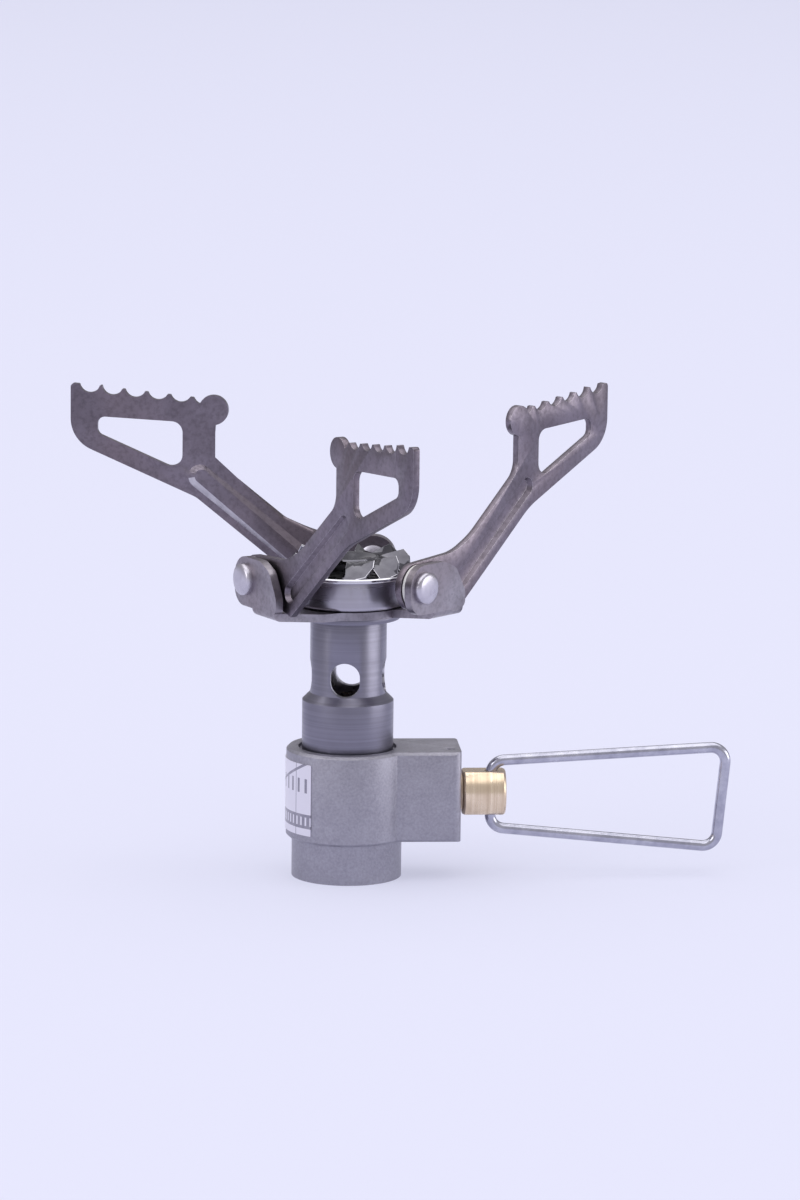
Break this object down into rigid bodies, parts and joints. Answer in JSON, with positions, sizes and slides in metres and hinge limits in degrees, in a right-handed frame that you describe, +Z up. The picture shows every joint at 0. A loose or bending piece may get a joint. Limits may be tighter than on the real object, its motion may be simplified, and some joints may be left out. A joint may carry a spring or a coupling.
{
  "type": "canister-top camping stove",
  "caption": "Small folding gas stove: threaded valve body with wire-bail control valve, perforated mixing tube, crown burner and toothed folding pan arms.",
  "frame": {"origin": "centre of the canister thread's mouth, in the plane the collar stands on", "axes": "+Z up along the stove's axis, +X out of the valve block along the valve spindle"},
  "size_m": [0.0872, 0.0606, 0.063],
  "materials": {
    "blasted_alloy": "fine bead-blasted matt grey",
    "label_film": "light grey printed sticker with no words",
    "rubber": "matt black nitrile",
    "brass": "pale turned brass",
    "sintered_bronze": "sintered grains",
    "pin_steel": "dark rolled spring steel",
    "copper": "soft annealed copper",
    "white_ptfe": "smooth white",
    "wire_steel": "bright drawn stainless wire",
    "tube_alloy": "dark satin, fine turning marks",
    "bracket_titanium": "rolled titanium sheet, tumbled",
    "burner_steel": "pressed stainless, satin",
    "crown_steel": "bright pressed stainless",
    "arm_titanium": "dark warm grey titanium sheet, tumbled",
    "rivet_steel": "light satin stainless"
  },
  "bodies": {
    "stove": {"valve_body": "blasted_alloy", "label": "label_film", "canister_seal": "rubber", "inlet_nipple": "brass", "inlet_filter": "sintered_bronze", "needle_seat": "brass", "stop_pin": "pin_steel", "jet": "brass", "jet_washer": "copper", "mixing_tube": "tube_alloy", "clamp_ring": "bracket_titanium", "bracket": "bracket_titanium", "burner_cup": "burner_steel", "tube_retainer": "burner_steel", "flame_screen": "burner_steel", "burner_crown": "crown_steel", "rivets": "rivet_steel", "rivet_washers": "bracket_titanium"},
    "spindle": {"spindle": "brass", "spindle_seal": "rubber", "backup_ring": "white_ptfe"},
    "bail": {"bail": "wire_steel"},
    "arm_left": {"arm_left": "arm_titanium"},
    "arm_right": {"arm_right": "arm_titanium"},
    "arm_front": {"arm_front": "arm_titanium"}
  },
  "joints": [
    {"name": "spindle_turn", "type": "hinge", "parent": "stove", "child": "spindle", "pos_m": [0.012, 0, 0.0111], "axis": [1, 0, 0], "range_deg": [0, 525]},
    {"name": "bail_swing", "type": "hinge", "parent": "spindle", "child": "bail", "pos_m": [0.019, 0, 0.0111], "axis": [0, 0, 1], "range_deg": [-85, 85]},
    {"name": "arm_left_fold", "type": "hinge", "parent": "stove", "child": "arm_left", "pos_m": [0.00398, 0.01192, 0.04035], "axis": [0.1582, 0.9874, 0], "range_deg": [0, 230]},
    {"name": "arm_right_fold", "type": "hinge", "parent": "stove", "child": "arm_right", "pos_m": [0.00767, -0.00996, 0.04035], "axis": [0.7314, -0.682, 0], "range_deg": [0, 230]},
    {"name": "arm_front_fold", "type": "hinge", "parent": "stove", "child": "arm_front", "pos_m": [-0.01205, -0.00357, 0.04035], "axis": [-0.8996, -0.4368, 0], "range_deg": [0, 230]}
  ],
  "couplings": [
    {"joint": "arm_right_fold", "follows": "arm_left_fold", "ratio": 1},
    {"joint": "arm_front_fold", "follows": "arm_left_fold", "ratio": 1}
  ]
}
